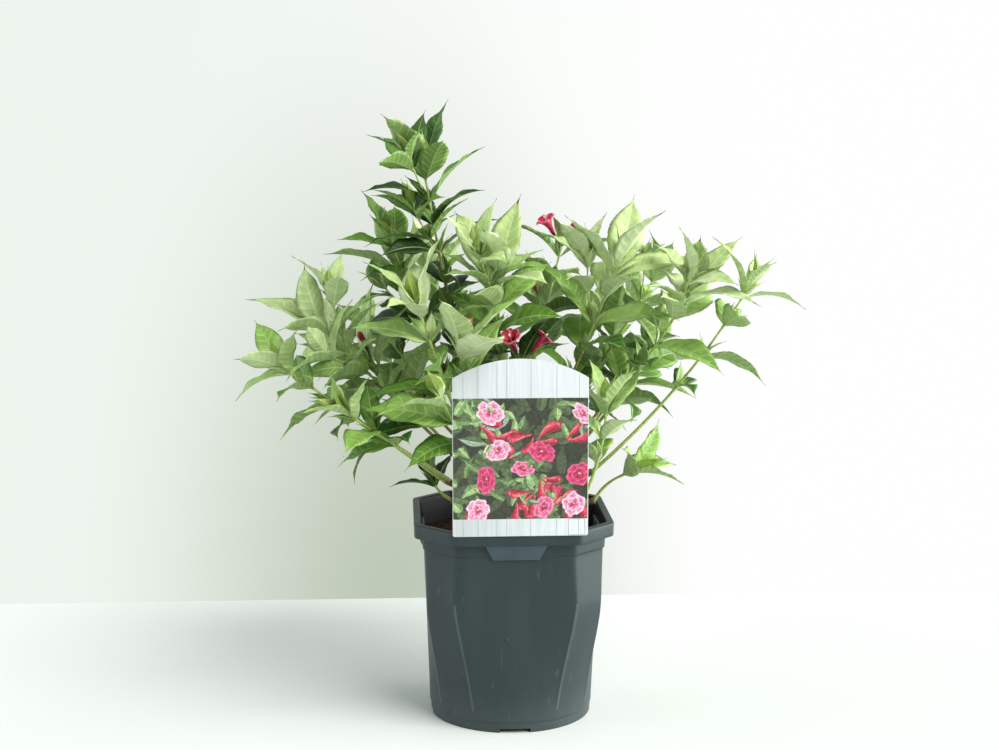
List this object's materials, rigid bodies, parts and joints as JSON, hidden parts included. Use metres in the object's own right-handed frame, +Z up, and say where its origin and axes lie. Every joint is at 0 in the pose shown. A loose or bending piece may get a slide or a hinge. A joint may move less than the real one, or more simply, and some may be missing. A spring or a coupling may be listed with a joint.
{
  "type": "potted flowering shrub",
  "caption": "Young leafy shrub with arching shoots, crimson buds and tubular flowers, in a square-shouldered plastic nursery pot with a picture card clipped over its rim.",
  "frame": {"origin": "middle of the flat disc under the pot, on the ground", "axes": "+Z up the plant; -Y towards the picture card; the pot's flat walls face +X, -X, +Y and -Y"},
  "size_m": [0.5113, 0.3701, 0.5643],
  "materials": {
    "pot": "satin moulded plastic, slate grey",
    "soil": "moist peat and bark potting mix",
    "picture_card": "printed plastic card",
    "bark": "young ridged bark",
    "foliage": "soft green leaves"
  },
  "bodies": {
    "root": {"pot": "pot", "soil": "soil", "picture_card": "picture_card", "stump": "bark", "bough_left_low": "bark", "bough_left": "bark", "bough_left_front": "bark", "bough_left_tall": "bark", "bough_centre": "bark", "bough_front": "bark", "bough_right_tall": "bark", "bough_right": "bark", "bough_right_low": "bark", "bough_right_front": "bark", "bough_back_left": "bark", "bough_back": "bark", "bough_back_right": "bark", "bough_rim_left": "bark", "bough_rim_right": "bark", "foliage_top": "foliage", "foliage_middle": "foliage", "foliage_right_top": "foliage", "foliage_left_top": "foliage", "foliage_right_up": "foliage", "foliage_shoulder": "foliage", "foliage_inner": "foliage", "foliage_top_left": "foliage", "foliage_left_out": "foliage", "foliage_collar_top": "foliage", "foliage_right_out": "foliage", "foliage_collar": "foliage", "foliage_flowering": "foliage", "foliage_right_front": "foliage", "foliage_right_behind": "foliage", "foliage_left_mid": "foliage", "foliage_flowering_low": "foliage", "foliage_right_inner": "foliage", "foliage_rim": "foliage", "foliage_rim_right": "foliage", "foliage_left_inner": "foliage", "foliage_back_far_left": "foliage", "foliage_back_left": "foliage", "foliage_back_low": "foliage", "foliage_back_tall": "foliage", "foliage_back_right": "foliage", "foliage_back_far_right": "foliage", "foliage_back_inner": "foliage"}
  },
  "joints": []
}
